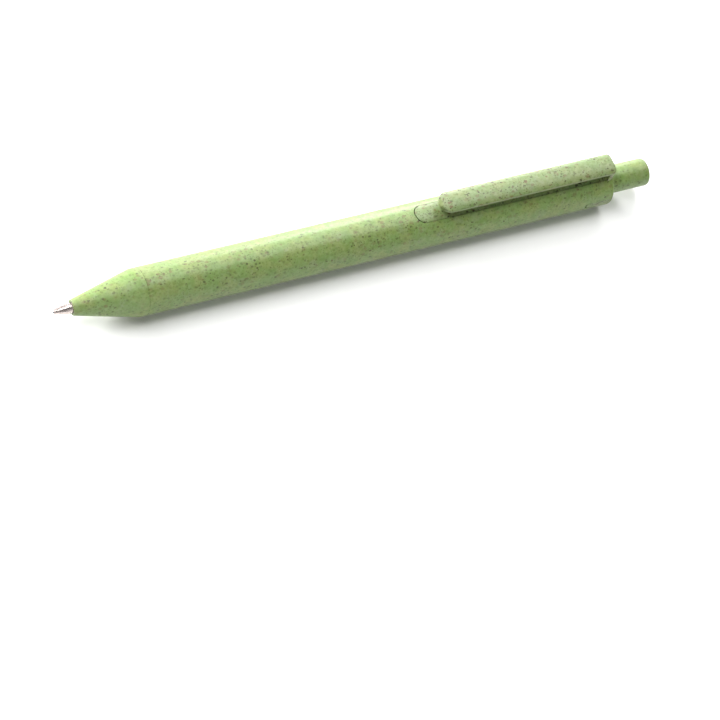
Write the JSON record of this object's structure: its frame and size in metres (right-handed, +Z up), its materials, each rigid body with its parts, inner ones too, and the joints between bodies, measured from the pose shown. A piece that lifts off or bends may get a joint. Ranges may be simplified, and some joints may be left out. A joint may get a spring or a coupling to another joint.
{
  "type": "gel pen",
  "caption": "Click gel pen: slim speckled straw-fibre plastic barrel, tapered nose cone, arched clip, round push button and a sprung gel refill, shown with its point out.",
  "frame": {"origin": "under the middle of the pen's length, on the surface that the barrel rests on", "axes": "+X along the pen towards the push button, +Z up through the clip, +Y to the pen's side"},
  "size_m": [0.1388, 0.01, 0.0131],
  "materials": {
    "shell": "satin green plastic filled with straw fibre, with fine dark and reddish specks",
    "clip": "the same straw-fibre plastic, a little greyer",
    "mechanism": "natural white moulded plastic",
    "spring": "drawn steel wire",
    "tube": "clear refill tube",
    "point": "turned and polished nickel silver",
    "ball": "ground carbide ball",
    "ink": "wet black gel",
    "grease": "clear amber grease"
  },
  "bodies": {
    "barrel_body": {"barrel": "shell", "clip": "clip", "return_spring": "spring"},
    "nose_body": {"nose_cone": "shell"},
    "button_body": {"push_button": "shell", "thrust_cam": "mechanism"},
    "rotor_body": {"cam_rotor": "mechanism"},
    "refill_body": {"refill_tube": "tube", "tip_holder": "mechanism", "point_body": "point", "writing_ball": "ball", "ball_spring": "spring", "gel_ink": "ink", "ink_follower": "grease", "refill_plug": "mechanism"}
  },
  "joints": [
    {"name": "button_press", "type": "slide", "parent": "barrel_body", "child": "button_body", "axis": [-1, 0, 0], "range_m": [-0.0058, 0.0012], "stiffness_N_per_m": 300},
    {"name": "refill_slide", "type": "slide", "parent": "barrel_body", "child": "refill_body", "axis": [-1, 0, 0], "range_m": [-0.0058, 0.0012], "deforming": ["return_spring"]},
    {"name": "rotor_slide", "type": "slide", "parent": "barrel_body", "child": "rotor_body", "axis": [-1, 0, 0], "range_m": [-0.0058, 0.0012]},
    {"name": "nose_cone_pull", "type": "slide", "parent": "barrel_body", "child": "nose_body", "axis": [-1, 0, 0], "range_m": [0, 0.03]}
  ],
  "couplings": [
    {"joint": "refill_slide", "follows": "button_press", "ratio": 1},
    {"joint": "rotor_slide", "follows": "button_press", "ratio": 1}
  ]
}
